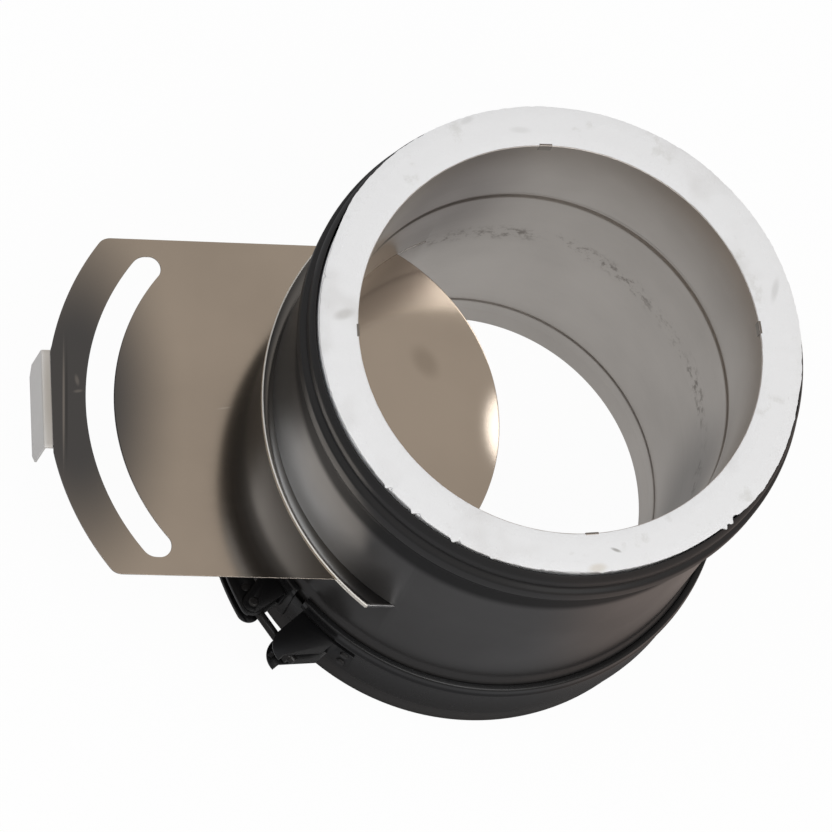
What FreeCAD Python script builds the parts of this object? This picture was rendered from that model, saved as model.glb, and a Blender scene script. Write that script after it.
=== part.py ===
import FreeCAD, Part
import math
import os
import re
import Sketcher

# Chimney damper: a short double-wall flue section with a sliding plate and a locking band.
# The origin is on the flue's axis at its bottom end. +Z runs up the flue and the plate pulls out along -Y.

doc = FreeCAD.newDocument("chimney_damper")
sheet = doc.addObject("Spreadsheet::Sheet", "sizes")

SIZES = {
    # the pipe: liner, fibre, casing
    "total_height": 275.0,
    "flue_radius": 125.0,
    "liner_wall": 1.0,
    "casing_radius": 150.0,
    "casing_wall": 0.8,
    "fibre_gap": 0.6,
    # the liner's rolled bead and its spigot
    "bead_drop": 78.0,
    "bead_width": 7.0,
    "bead_rise": 2.0,
    "spigot_length": 23.0,
    "spigot_land": 10.0,
    "spigot_step": 1.6,
    "spigot_taper": 3.2,
    # the casing's collar, socket and rim
    "lip_drop": 3.0,
    "lip_rise": 1.2,
    "upper_bead_rise": 3.6,
    "upper_bead_width": 13.0,
    "groove_rise": 3.0,
    "groove_width": 6.0,
    "lower_bead_rise": 6.3,
    "lower_bead_width": 11.0,
    "neck_rise": 0.8,
    "neck_width": 6.0,
    "foot_bead_rise": 1.6,
    "foot_bead_width": 5.5,
    "socket_rise": 2.8,
    "socket_height": 71.0,
    "rim_rise": 3.8,
    "rim_height": 22.0,
    "turned_slope": 3.0,
    # the sliding plate
    "plate_height": 138.5,
    "plate_sheet": 1.0,
    "plate_half": 110.0,
    "plate_pulled": 131.0,
    "plate_reach": 290.6,
    "plate_end_radius": 176.5,
    "plate_corner": 5.0,
    "slot_from_end": 24.0,
    "slot_width": 17.5,
    "slot_half": 98.5,
    "slot_corner": 5.0,
    # the cassette that guides it
    "slide_gap": 2.0,
    "side_play": 7.0,
    "spacer_width": 10.0,
    "guide_sheet": 1.0,
    "guide_back": 38.0,
    "guide_end_radius": 166.0,
    "flange_reach": 156.7,
    "seat_gap": 0.1,
    # the handle at the plate's end
    "handle_half": 32.0,
    "handle_offset": -2.7,
    "handle_lap": 9.6,
    "handle_lap_half": 42.0,
    "handle_shelf": 4.6,
    "handle_drop": 32.0,
    "handle_chamfer": 6.0,
    "handle_sheet": 1.2,
    # the clips on the liner's upper edge
    "clip_width": 8.0,
    "clip_leg": 11.0,
    "clip_sheet": 0.4,
    "clip_azimuth_a": 5.0,
    "clip_azimuth_b": 95.0,
    "clip_azimuth_c": 181.0,
    "clip_azimuth_d": 270.0,
    # the locking band
    "band_rise": 7.0,
    "band_wall": 1.0,
    "band_lip_gap": 0.3,
    "band_foot": 24.0,
    "band_top": 70.0,
    "band_crown_rise": 1.2,
    "band_crown_height": 60.5,
    "band_crown_width": 6.4,
    "band_split": 8.0,
    "tongue_half": 24.0,
    "tongue_wall": 0.8,
    # the latch: lever, barrel and bolt
    "latch_azimuth": -49.9,
    "latch_height": 45.0,
    "pivot_rise": 19.5,
    "pivot_along": -22.0,
    "latch_lean": -6.5,
    "over_centre": 2.3,
    "barrel_back": 11.0,
    "barrel_radius": 4.6,
    "journal_radius": 2.6,
    "bolt_radius": 3.0,
    "bolt_tail": 7.0,
    "bolt_end": 22.0,
    "lever_lobe": 7.8,
    "lever_inner_half": 6.25,
    "lever_wall": 1.8,
    "lever_sweep": 31.0,
    "lever_slot_half": 4.0,
    "lever_slot_sweep": 20.0,
    "lever_tab": 10.0,
    "lever_tab_turn": -30.0,
    "running_gap": 0.08,
    "side_gap": 0.3,
    # the latch: brackets and fasteners
    "strap_wall": 1.6,
    "strap_gap": 0.03,
    "bracket_near_turn": 4.6,
    "bracket_far_turn": 20.5,
    "ear_wall": 2.0,
    "ear_lobe": 6.5,
    "ear_foot_turn": 8.0,
    "ear_root_turn": 0.4,
    "saddle_near_turn": 0.8,
    "saddle_far_turn": 16.5,
    "saddle_half": 10.6,
    "saddle_rise": 13.0,
    "fork_face": 7.2,
    "fork_wall": 3.0,
    "fork_tip": 3.0,
    "fork_play": 0.7,
    "cheek_near": 2.2,
    "cheek_tail": 30.0,
    "cheek_tail_rise": 8.0,
    "horn_radius": 13.0,
    "horn_tip": 16.0,
    "horn_width": 5.0,
    "horn_rise": 3.0,
    "washer_gap": 1.7,
    "washer_radius": 6.0,
    "washer_wall": 1.0,
    "nut_flat": 5.0,
    "nut_length": 6.0,
    "rivet_radius": 2.0,
    "rivet_head": 3.4,
    "rivet_rise": 1.3,
    "rivet_inset": 2.0,
    "rivet_spread": 6.0,
}

# Sizes that follow others: the band clears the socket, and the latch stands on the band.
SIZES["band_radius"] = "=casing_radius + band_rise"
SIZES["pivot_radial"] = "=band_radius + pivot_rise"
SIZES["pivot_distance"] = "=sqrt(pivot_radial^2 + pivot_along^2)"
SIZES["lever_radius"] = "=pivot_distance + lever_lobe"
SIZES["lever_inner"] = "=pivot_distance - lever_lobe"
SIZES["saddle_top"] = "=pivot_radial + saddle_rise"

for row, (name, size) in enumerate(SIZES.items(), start=1):
    sheet.set("A%d" % row, name)
    sheet.set("B%d" % row, str(size))
    sheet.setAlias("B%d" % row, name)
doc.recompute()

NAME = re.compile(r"[a-z_]*[a-z]")
parts = []


def bound(expression):
    """The expression with each size's name led back to the sheet."""
    return NAME.sub(lambda found: "sizes." * (found.group() in SIZES) + found.group(), expression)


def value(expression):
    return float(sheet.evalExpression(bound(expression)))


def keep(piece, label):
    """Marks an object as the sub-part that is written to parts/label.step."""
    piece.Label = label
    parts.append(piece)
    return piece


def new_body(name, turn="0", rise="0"):
    """A body on the flue's axis, turned about it and raised. At the latch its X points away from the
    flue, its Y along the band and its Z up from the latch's middle."""
    body = doc.addObject("PartDesign::Body", name)
    body.Placement = FreeCAD.Placement(FreeCAD.Vector(), FreeCAD.Rotation(FreeCAD.Vector(0, 0, 1), 90))
    body.setExpression("Placement.Rotation.Angle", bound(turn))
    body.setExpression("Placement.Base.z", bound(rise))
    return body


def latch_body(name):
    return new_body(name, "latch_azimuth", "latch_height")


def leaned_body(name):
    """A body of the latch that is turned further about the lever's pivot, by the lean of the shut latch."""
    turns = ("latch_azimuth", "(latch_azimuth + latch_lean)")
    body = new_body(name, turns[1], "latch_height")
    for axis, pivot in (("x", "(pivot_radial*cos(%s) - pivot_along*sin(%s))"),
                        ("y", "(pivot_radial*sin(%s) + pivot_along*cos(%s))")):
        upright, leaned = (pivot % (turn, turn) for turn in turns)
        body.setExpression("Placement.Base." + axis, bound(upright + " - " + leaned))
    return body


def origin_part(body, role):
    return next(feature for feature in body.Origin.OriginFeatures if feature.Role == role)


def new_sketch(body, name, role, offset="0", across="0", up="0", turn="0"):
    """A sketch on one of the body's own planes: offset runs along that plane's normal, across and up lie
    in it, and turn goes round its upward axis."""
    sketch = body.newObject("Sketcher::SketchObject", name)
    sketch.AttachmentSupport = (origin_part(body, role), [""])
    sketch.MapMode = "FlatFace"
    quarter_turn = FreeCAD.Rotation(FreeCAD.Vector(0, 1, 0), 90)
    sketch.AttachmentOffset = FreeCAD.Placement(FreeCAD.Vector(), quarter_turn)
    sketch.setExpression("AttachmentOffset.Base.x", bound(across))
    sketch.setExpression("AttachmentOffset.Base.y", bound(up))
    sketch.setExpression("AttachmentOffset.Base.z", bound(offset))
    sketch.setExpression("AttachmentOffset.Rotation.Angle", bound(turn))
    return sketch


def tie(sketch, kind, targets, expression):
    """A driving constraint whose value follows the expression."""
    index = sketch.addConstraint(Sketcher.Constraint(kind, *targets, value(expression)))
    sketch.setExpression("Constraints[%d]" % index, bound(expression))


def tie_point(sketch, geometry, point, x, y):
    tie(sketch, "DistanceX", (-1, 1, geometry, point), x)
    tie(sketch, "DistanceY", (-1, 1, geometry, point), y)


def edge_between(start, end, radius, side):
    """A line, or the shorter arc of that radius, bulging to the right of start to end where side is 1."""
    if radius is None:
        return Part.LineSegment(start, end)
    chord = end - start
    across = FreeCAD.Vector(chord.y, -chord.x, 0).normalize() * side
    centre = (start + end) * 0.5 - across * math.sqrt(radius ** 2 - chord.Length ** 2 / 4)
    ends = (start, end) if side > 0 else (end, start)
    return Part.Arc(ends[0], centre + across * radius, ends[1])


def outline(sketch, corners):
    """A closed outline. A corner is (x, y), or (x, y, radius, side) where an arc leads on from it."""
    places = [FreeCAD.Vector(value(corner[0]), value(corner[1]), 0) for corner in corners]
    first = sketch.GeometryCount
    first_point, last_point = 1, 2
    for i, corner in enumerate(corners):
        radius, side = (value(corner[2]), corner[3]) if len(corner) == 4 else (None, 0)
        end = places[(i + 1) % len(places)]
        sketch.addGeometry(edge_between(places[i], end, radius, side), False)
    start = [first_point if (sketch.Geometry[first + i].StartPoint - place).Length < 1e-6 else last_point
             for i, place in enumerate(places)]
    for i, corner in enumerate(corners):
        after = (i + 1) % len(corners)
        meeting = (first + i, first_point + last_point - start[i], first + after, start[after])
        sketch.addConstraint(Sketcher.Constraint("Coincident", *meeting))
    for i, corner in enumerate(corners):
        tie_point(sketch, first + i, start[i], corner[0], corner[1])
        if len(corner) == 4:
            tie(sketch, "Radius", (first + i,), corner[2])


def rectangle(sketch, left, foot, right, head):
    outline(sketch, [(left, foot), (right, foot), (right, head), (left, head)])


def circle(sketch, x, y, radius):
    middle = FreeCAD.Vector(value(x), value(y), 0)
    index = sketch.addGeometry(Part.Circle(middle, FreeCAD.Vector(0, 0, 1), value(radius)), False)
    tie_point(sketch, index, 3, x, y)
    tie(sketch, "Radius", (index,), radius)


def pad(body, sketch, length):
    feature = body.newObject("PartDesign::Pad", sketch.Name + "_pad")
    feature.Profile = sketch
    feature.setExpression("Length", bound(length))
    return feature


def revolve(body, sketch, axis="V_Axis"):
    feature = body.newObject("PartDesign::Revolution", sketch.Name + "_turn")
    feature.Profile = sketch
    feature.ReferenceAxis = (sketch, [axis])
    feature.Angle = 360
    return feature


def pocket(body, sketch, length=None):
    """Cuts along the sketch's normal, through everything where no length is given."""
    doc.recompute()
    before = body.Shape.Volume
    feature = body.newObject("PartDesign::Pocket", sketch.Name + "_cut")
    feature.Profile = sketch
    feature.Reversed = True
    if length is None:
        feature.Type = "ThroughAll"
    else:
        feature.setExpression("Length", bound(length))
    doc.recompute()
    if body.Shape.Volume > before - 1e-3:
        raise RuntimeError("%s cuts nothing" % sketch.Name)


def fillet_upright(body, radius, low, high):
    """Rounds the upright edges whose distance from the body's YZ plane lies between low and high."""
    doc.recompute()
    names = []
    for i, edge in enumerate(body.Tip.Shape.Edges, start=1):
        box = edge.BoundBox
        if box.XLength + box.YLength < 1e-4 and value(low) < abs(box.XMin) < value(high):
            names.append("Edge%d" % i)
    base = body.Tip
    feature = body.newObject("PartDesign::Fillet", body.Name + "_fillet_%d" % len(body.Group))
    feature.Base = (base, names)
    feature.setExpression("Radius", bound(radius))


def sheet_wall(outside, wall):
    """A turned sheet's section: its outside from one end to the other, then back one wall further in."""
    return outside + [("%s - %s" % (x, wall), y) for x, y in reversed(outside)]


def rolled_bead(foot, head, radius, rise, slope):
    """The four outside corners of a bead rolled into a tube, from its head down to its foot."""
    return [(radius, head), ("%s + %s" % (radius, rise), "%s - %s" % (head, slope)),
            ("%s + %s" % (radius, rise), "%s + %s" % (foot, slope)), (radius, foot)]


# The outer casing is a rolled steel tube. Its collar has two broad beads and a narrow one below them,
# and its foot is widened to a socket that ends in a rim.
casing = new_body("casing")
upper_head = "total_height - lip_drop"
upper_foot = upper_head + " - upper_bead_width"
lower_head = upper_foot + " - groove_width"
lower_foot = lower_head + " - lower_bead_width"
neck_foot = lower_foot + " - neck_width"
casing_outside = [
    ("casing_radius + lip_rise", upper_head),
    ("casing_radius + upper_bead_rise", upper_head + " - 2*turned_slope"),
    ("casing_radius + upper_bead_rise", upper_foot),
    ("casing_radius + groove_rise", upper_foot + " - groove_width/2"),
    ("casing_radius + lower_bead_rise", lower_head),
    ("casing_radius + lower_bead_rise", lower_foot),
    ("casing_radius + neck_rise", neck_foot),
    ("casing_radius + foot_bead_rise", neck_foot + " - foot_bead_width"),
    ("casing_radius", neck_foot + " - 2*foot_bead_width"),
    ("casing_radius", "socket_height + 2*turned_slope"),
    ("casing_radius + socket_rise", "socket_height"),
    ("casing_radius + socket_rise", "rim_height + turned_slope/2"),
    ("casing_radius + rim_rise", "rim_height"),
    ("casing_radius + rim_rise", "0"),
]
casing_section = new_sketch(casing, "casing_section", "XZ_Plane")
outline(casing_section, sheet_wall(casing_outside, "casing_wall"))
revolve(casing, casing_section)
guide_half = "(plate_half + side_play + spacer_width)"
mouth_half = "(plate_half + side_play)"
slide_foot = "(plate_height - slide_gap/2)"
slide_head = "(plate_height + slide_gap/2)"
cassette_foot = "(plate_height - slide_gap/2 - guide_sheet)"
cassette_head = "(plate_height + slide_gap/2 + guide_sheet)"
casing_slot = new_sketch(casing, "casing_slot", "XZ_Plane")
rectangle(casing_slot, "-%s - seat_gap" % guide_half, cassette_foot + " - seat_gap",
          guide_half + " + seat_gap", cassette_head + " + seat_gap")
pocket(casing, casing_slot)
keep(casing, "outer_shell")

# The liner is a stainless tube with one rolled bead, a stepped and tapered spigot, and a slot for the plate.
liner = new_body("liner")
liner_outer = "(flue_radius + liner_wall)"
bead_head = "total_height - bead_drop + bead_width/2"
bead_foot = "total_height - bead_drop - bead_width/2"
liner_outside = [(liner_outer, "total_height")]
liner_outside += rolled_bead(bead_foot, bead_head, liner_outer, "bead_rise", "bead_width/3")
liner_outside += [
    (liner_outer, "spigot_length + spigot_step"),
    (liner_outer + " - spigot_step", "spigot_length"),
    (liner_outer + " - spigot_step", "spigot_length - spigot_land"),
    (liner_outer + " - spigot_step - spigot_taper", "0"),
]
liner_section = new_sketch(liner, "liner_section", "XZ_Plane")
outline(liner_section, sheet_wall(liner_outside, "liner_wall"))
revolve(liner, liner_section)
liner_slot = new_sketch(liner, "liner_slot", "XZ_Plane")
rectangle(liner_slot, "-" + mouth_half, slide_foot, mouth_half, slide_head)
pocket(liner, liner_slot)
keep(liner, "inner_liner")


# Two fibre rings fill the gap between liner and casing, hollowed where the cassette lies between them.
def fibre_ring(name, label, foot, head, recess_foot, relief=()):
    """A ring from foot to head. Relief lists the section's corners round the liner's bead, from its head."""
    ring = new_body(name)
    section = new_sketch(ring, name + "_section", "XZ_Plane")
    fibre_outer = "casing_radius - casing_wall - seat_gap"
    outer_side = [(fibre_outer, foot), (fibre_outer, head)]
    outline(section, outer_side + [(fibre_inner, head), *relief, (fibre_inner, foot)])
    revolve(ring, section)
    recess = new_sketch(ring, name + "_recess", "XY_Plane", recess_foot)
    rectangle(recess, "-%s - seat_gap" % guide_half, "-2*casing_radius",
              guide_half + " + seat_gap", "-guide_back + seat_gap")
    pocket(ring, recess, "slide_gap/2 + guide_sheet + seat_gap")
    keep(ring, label)


fibre_inner = "(flue_radius + liner_wall + fibre_gap)"
bead_relief = rolled_bead(bead_foot, bead_head, fibre_inner, "bead_rise", "bead_width/3")
fibre_ring("fibre_above", "upper_insulation", "plate_height", "total_height", "plate_height", bead_relief)
fibre_ring("fibre_below", "lower_insulation", "spigot_length", "plate_height", cassette_foot + " - seat_gap")


# The cassette: two guide sheets with an arched outer edge, held apart by a strip at each side and closed
# at the back by the liner.
def arched_edge(half):
    return "guide_end_radius - flange_reach - sqrt(guide_end_radius^2 - %s^2)" % half


def cassette_piece(name, label, corners, foot, thickness):
    piece = new_body(name)
    flat = new_sketch(piece, name + "_outline", "XY_Plane", foot)
    outline(flat, corners)
    pad(piece, flat, thickness)
    flue = new_sketch(piece, name + "_flue", "XY_Plane", foot)
    circle(flue, "0", "0", liner_outer + " + seat_gap")
    pocket(piece, flue, thickness)
    keep(piece, label)


guide_corners = [
    ("-" + guide_half, arched_edge(guide_half), "guide_end_radius", 1),
    (guide_half, arched_edge(guide_half)),
    (guide_half, "-guide_back"),
    ("-" + guide_half, "-guide_back"),
]
cassette_piece("guide_above", "cassette_upper_sheet", guide_corners, slide_head, "guide_sheet")
cassette_piece("guide_below", "cassette_lower_sheet", guide_corners, cassette_foot, "guide_sheet")
for name, sign in (("left", "-"), ("right", "")):
    spacer_corners = [
        (sign + mouth_half, arched_edge(mouth_half), "guide_end_radius", -1 if sign else 1),
        (sign + guide_half, arched_edge(guide_half)),
        (sign + guide_half, "-guide_back"),
        (sign + mouth_half, "-guide_back"),
    ]
    cassette_piece("spacer_" + name, "cassette_%s_spacer" % name, spacer_corners, slide_foot, "slide_gap")

# The damper plate: a round inner end, an arched outer end and a curved slot along it.
plate = new_body("plate")
plate_foot = "(plate_height - plate_sheet/2)"


def end_arc(half, inset="0"):
    return "plate_end_radius - plate_reach - sqrt((plate_end_radius - %s)^2 - %s^2)" % (inset, half)


disc_edge = "sqrt(flue_radius^2 - plate_half^2) - plate_pulled"
plate_outline = new_sketch(plate, "plate_outline", "XY_Plane", plate_foot)
outline(plate_outline, [
    ("-plate_half", end_arc("plate_half"), "plate_end_radius", 1),
    ("plate_half", end_arc("plate_half")),
    ("plate_half", disc_edge, "flue_radius", 1),
    ("-plate_half", disc_edge),
])
pad(plate, plate_outline, "plate_sheet")
plate_slot = new_sketch(plate, "plate_slot", "XY_Plane", plate_foot)
slot_inner = "(slot_from_end + slot_width)"
slot_inner_half = "(slot_half - slot_width/4)"
outline(plate_slot, [
    ("-slot_half", end_arc("slot_half", "slot_from_end"), "plate_end_radius - slot_from_end", 1),
    ("slot_half", end_arc("slot_half", "slot_from_end")),
    (slot_inner_half, end_arc(slot_inner_half, slot_inner), "plate_end_radius - " + slot_inner, -1),
    ("-" + slot_inner_half, end_arc(slot_inner_half, slot_inner)),
])
pocket(plate, plate_slot, "plate_sheet")
fillet_upright(plate, "slot_corner", slot_inner_half + " - plate_sheet", "slot_half + plate_sheet")
fillet_upright(plate, "plate_corner", "plate_half - plate_sheet", "plate_half + plate_sheet")
keep(plate, "damper_plate")

# The pull handle: a strip welded under the plate's arched end, carried past it and folded down.
handle = new_body("handle")
handle_left = "(handle_offset - handle_half)"
handle_right = "(handle_offset + handle_half)"
handle_end = "-(plate_reach + handle_shelf)"
lap_edge = "-(plate_reach - handle_lap)"
handle_foot = "(%s - handle_sheet)" % plate_foot
lap_outline = new_sketch(handle, "handle_lap_outline", "XY_Plane", handle_foot)
outline(lap_outline, [
    (handle_left, handle_end),
    (handle_right, handle_end),
    (handle_right, "-plate_reach + handle_lap/3"),
    ("handle_offset + handle_lap_half", lap_edge + " - handle_lap/3"),
    ("handle_offset + handle_lap_half", lap_edge),
    ("handle_offset - handle_lap_half", lap_edge),
    ("handle_offset - handle_lap_half", lap_edge + " - handle_lap/3"),
    (handle_left, "-plate_reach + handle_lap/3"),
])
pad(handle, lap_outline, "handle_sheet")
flap_back = "plate_reach + handle_shelf - handle_sheet"
flap_outline = new_sketch(handle, "handle_flap_outline", "XZ_Plane", flap_back)
flap_foot = plate_foot + " - handle_drop"
outline(flap_outline, [
    (handle_left + " + handle_chamfer", flap_foot),
    (handle_right + " - handle_chamfer", flap_foot),
    (handle_right, flap_foot + " + handle_chamfer"),
    (handle_right, plate_foot),
    (handle_left, plate_foot),
    (handle_left, flap_foot + " + handle_chamfer"),
])
pad(handle, flap_outline, "handle_sheet")
keep(handle, "pull_handle")

# Four clips, each a strip folded over the liner's upper edge.
clips = new_body("clips")
clip_inside = "flue_radius - seat_gap"
clip_outside = liner_outer + " + seat_gap/2"
clip_foot = "total_height - clip_leg"
for letter in "abcd":
    clip_section = new_sketch(clips, "clip_section_" + letter, "XZ_Plane", turn="clip_azimuth_" + letter)
    outline(clip_section, [
        (clip_inside + " - clip_sheet", clip_foot),
        (clip_inside, clip_foot),
        (clip_inside, "total_height + seat_gap/2"),
        (clip_outside, "total_height + seat_gap/2"),
        (clip_outside, clip_foot),
        (clip_outside + " + clip_sheet", clip_foot),
        (clip_outside + " + clip_sheet", "total_height + seat_gap/2 + clip_sheet"),
        (clip_inside + " - clip_sheet", "total_height + seat_gap/2 + clip_sheet"),
    ])
    pad(clips, clip_section, "clip_width").Midplane = True
keep(clips, "rim_clips")


# The rivets through the band and the latch's two straps. They stand in two pairs, one pair in each strap.
def rivet_pairs(name, corners):
    turn = "latch_azimuth - bracket_far_turn + rivet_inset"
    body = new_body(name, turn, "latch_height")
    turned = []
    for side, up in (("high", "rivet_spread"), ("low", "-rivet_spread")):
        section = new_sketch(body, "%s_%s" % (name, side), "XZ_Plane", up=up)
        outline(section, corners)
        turned.append(revolve(body, section, "H_Axis"))
    pattern = body.newObject("PartDesign::PolarPattern", name + "_pattern")
    pattern.Originals = turned
    pattern.Axis = (origin_part(body, "Z_Axis"), [""])
    pattern.setExpression("Angle", bound("bracket_far_turn + saddle_far_turn - 2*rivet_inset"))
    pattern.Occurrences = 2
    body.Tip = pattern
    return body


strap_foot = "(band_radius + strap_gap)"
strap_head = "(band_radius + strap_gap + strap_wall)"
rivet_foot = "(band_radius - band_wall - rivet_rise/2)"
strap_rivets = rivet_pairs("strap_rivets", [
    (rivet_foot, "0"),
    (strap_head + " + rivet_rise", "0"),
    (strap_head + " + rivet_rise", "rivet_head*2/3"),
    (strap_head, "rivet_head"),
    (strap_head, "rivet_radius"),
    (rivet_foot, "rivet_radius"),
])
keep(strap_rivets, "bracket_rivets")
rivet_bores = rivet_pairs("rivet_bores", [
    ("casing_radius", "0"),
    ("band_radius + 2*ear_lobe", "0"),
    ("band_radius + 2*ear_lobe", "rivet_radius + running_gap"),
    ("casing_radius", "rivet_radius + running_gap"),
])


def bored(body, label):
    """The body with the rivets' bores cut through it."""
    cut = doc.addObject("Part::Cut", body.Name + "_bored")
    cut.Base = body
    cut.Tool = rivet_bores
    return keep(cut, label)


# The locking band: a rolled channel round the socket, split at the latch and bridged from inside by a tongue.
def band_edge(inset):
    """The band's section from head to foot, moved in by inset."""
    lip = "casing_radius + socket_rise + band_lip_gap"
    face = "band_radius - " + inset
    return [
        (lip, "band_top - " + inset),
        (face, "band_top - " + inset),
        (face, "band_crown_height + band_crown_width/2"),
        (face + " + band_crown_rise", "band_crown_height"),
        (face, "band_crown_height - band_crown_width/2"),
        (face, "band_foot + " + inset),
        (lip, "band_foot + " + inset),
    ]


band = new_body("band", "latch_azimuth")
band_section = new_sketch(band, "band_section", "XZ_Plane")
outline(band_section, band_edge("0") + band_edge("band_wall")[::-1])
revolve(band, band_section)
split = new_sketch(band, "band_split", "YZ_Plane")
rectangle(split, "-band_split", "0", "0", "2*band_top")
pocket(band, split)
bored(band, "locking_band")

tongue = new_body("tongue", "latch_azimuth")
tongue_head = "(band_radius - band_wall - strap_gap)"
tongue_section = new_sketch(tongue, "tongue_section", "XZ_Plane")
rectangle(tongue_section, tongue_head + " - tongue_wall", "band_foot + 2*ear_wall",
          tongue_head, "2*latch_height - band_foot - 2*ear_wall")
tongue_turn = revolve(tongue, tongue_section)
tongue_turn.Midplane = True
tongue_turn.setExpression("Angle", bound("2*asin(tongue_half/band_radius)"))
keep(tongue, "band_tongue")


# The latch's brackets: a strap bent round the band carries two ears for the lever, and another carries
# the forked saddle that the bolt lies in.
def polar(radius, turn):
    return ("%s*cos(%s)" % (radius, turn), "%s*sin(%s)" % (radius, turn))


def strap(body, name, turn_from, turn_to, half):
    """A stretch of ring on the band, from one turn to the other."""
    flat = new_sketch(body, name, "XY_Plane", "-" + half)
    outline(flat, [
        polar(strap_foot, turn_from),
        (*polar(strap_head, turn_from), strap_head, 1),
        polar(strap_head, turn_to),
        (*polar(strap_foot, turn_to), strap_foot, -1),
    ])
    pad(body, flat, "2*" + half)


def both_sides(body, name, corners, inner):
    """The same outline padded by one wall above and below the latch's middle."""
    for side, foot in (("high", inner), ("low", "-%s - ear_wall" % inner)):
        flat = new_sketch(body, "%s_%s" % (name, side), "XY_Plane", foot)
        outline(flat, corners)
        pad(body, flat, "ear_wall")


lever_half = "(lever_inner_half + lever_wall)"
ear_inner = "(lever_inner_half + lever_wall + side_gap)"
ear_outer = "(lever_inner_half + lever_wall + side_gap + ear_wall)"
strap_middle = "(band_radius + strap_gap + strap_wall/2)"
bracket = latch_body("bracket")
strap(bracket, "bracket_strap", "-bracket_far_turn", "-bracket_near_turn", ear_outer)
both_sides(bracket, "bracket_ear", [
    polar(strap_middle, "(-bracket_near_turn - ear_foot_turn)"),
    ("pivot_radial", "pivot_along - ear_lobe", "ear_lobe", 1),
    ("pivot_radial + ear_lobe", "pivot_along", "ear_lobe", 1),
    ("pivot_radial", "pivot_along + ear_lobe"),
    (*polar(strap_middle, "(-bracket_near_turn - ear_root_turn)"), strap_middle, -1),
], ear_inner)
pivot_bore = new_sketch(bracket, "bracket_pivot_bore", "XY_Plane", "-" + ear_outer)
circle(pivot_bore, "pivot_radial", "pivot_along", "rivet_radius")
pocket(bracket, pivot_bore, "2*" + ear_outer)
bored(bracket, "lever_bracket")

saddle = latch_body("saddle")
strap(saddle, "saddle_strap", "saddle_near_turn", "saddle_far_turn", "saddle_half")
bolt_radial = "(pivot_radial - over_centre)"
bolt_slope = "tan(latch_lean)"
fork_middle = "(fork_face + fork_wall/2)"
fork_seat = "(%s - (%s - pivot_along)*%s)" % (bolt_radial, fork_middle, bolt_slope)
fork_half = "(bolt_radius + fork_play)"
fork_top = "(saddle_top - horn_rise)"
fork = new_sketch(saddle, "saddle_fork", "XZ_Plane", "-fork_face - fork_wall")
outline(fork, [
    ("band_radius + strap_wall/3", "-saddle_half"),
    (fork_top, "-saddle_half"),
    (fork_top, "-%s - fork_tip" % fork_half, "fork_tip", 1),
    (fork_top + " - fork_tip", "-" + fork_half),
    (fork_seat, "-" + fork_half, fork_half, -1),
    ("%s - %s" % (fork_seat, fork_half), "0", fork_half, -1),
    (fork_seat, fork_half),
    (fork_top + " - fork_tip", fork_half, "fork_tip", 1),
    (fork_top, fork_half + " + fork_tip"),
    (fork_top, "saddle_half"),
    ("band_radius + strap_wall/3", "saddle_half"),
])
pad(saddle, fork, "fork_wall")
both_sides(saddle, "saddle_cheek", [
    ("sqrt(%s^2 - cheek_near^2)" % strap_middle, "cheek_near"),
    ("pivot_radial", "cheek_near", "horn_radius", 1),
    ("saddle_top", "horn_tip"),
    ("saddle_top - horn_width", "horn_tip"),
    ("band_radius + cheek_tail_rise", "cheek_tail"),
    ("sqrt(%s^2 - cheek_tail^2)" % strap_middle, "cheek_tail", strap_middle, -1),
], "(saddle_half - ear_wall)")
bored(saddle, "saddle_bracket")

# The lever: a channel bent round the band, rounded about its pivot. The bolt swings out through a slot in
# its back, and a tab at the free end gives a finger hold.
lever = leaned_body("lever")
lever_outline = new_sketch(lever, "lever_outline", "XY_Plane", "-" + lever_half)
pivot_turn = "atan(pivot_along/pivot_radial)"
lobe_near = ("pivot_radial - lever_lobe*sin(%s)" % pivot_turn,
             "pivot_along + lever_lobe*cos(%s)" % pivot_turn)
outline(lever_outline, [
    polar("lever_inner", "-lever_sweep"),
    (*polar("lever_radius", "-lever_sweep"), "lever_radius", 1),
    (*polar("lever_radius", pivot_turn), "lever_lobe", 1),
    (*lobe_near, "lever_lobe", 1),
    (*polar("lever_inner", pivot_turn), "lever_inner", -1),
])
pad(lever, lever_outline, "2*" + lever_half)
tab_outline = new_sketch(lever, "lever_tab", "XY_Plane", "-" + lever_half)
tab_root = polar("lever_radius", "-lever_sweep")
tab_under = polar("(lever_radius - lever_wall)", "-lever_sweep")
tab_reach = ("lever_tab*sin(lever_tab_turn + lever_sweep)", "lever_tab*cos(lever_tab_turn + lever_sweep)")
outline(tab_outline, [
    tab_under,
    ("%s - %s" % (tab_under[0], tab_reach[0]), "%s - %s" % (tab_under[1], tab_reach[1])),
    ("%s - %s" % (tab_root[0], tab_reach[0]), "%s - %s" % (tab_root[1], tab_reach[1])),
    tab_root,
])
pad(lever, tab_outline, "2*" + lever_half)
channel = new_sketch(lever, "lever_channel", "XY_Plane", "-lever_inner_half")
circle(channel, "0", "0", "lever_radius - lever_wall")
pocket(lever, channel, "2*lever_inner_half")
back_slot = new_sketch(lever, "lever_back_slot", "YZ_Plane")
slot_end = "-lever_radius*sin(lever_slot_sweep)"
outline(back_slot, [
    (slot_end + " + lever_slot_half", "-lever_slot_half"),
    ("0", "-lever_slot_half"),
    ("0", "lever_slot_half"),
    (slot_end + " + lever_slot_half", "lever_slot_half", "lever_slot_half", 1),
    (slot_end, "0", "lever_slot_half", 1),
])
pocket(lever, back_slot)
barrel_along = "(pivot_along - barrel_back)"
lever_bores = new_sketch(lever, "lever_bores", "XY_Plane", "-" + lever_half)
circle(lever_bores, "pivot_radial", "pivot_along", "rivet_radius + running_gap")
circle(lever_bores, bolt_radial, barrel_along, "journal_radius + running_gap")
pocket(lever, lever_bores, "2*" + lever_half)
keep(lever, "latch_lever")

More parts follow.
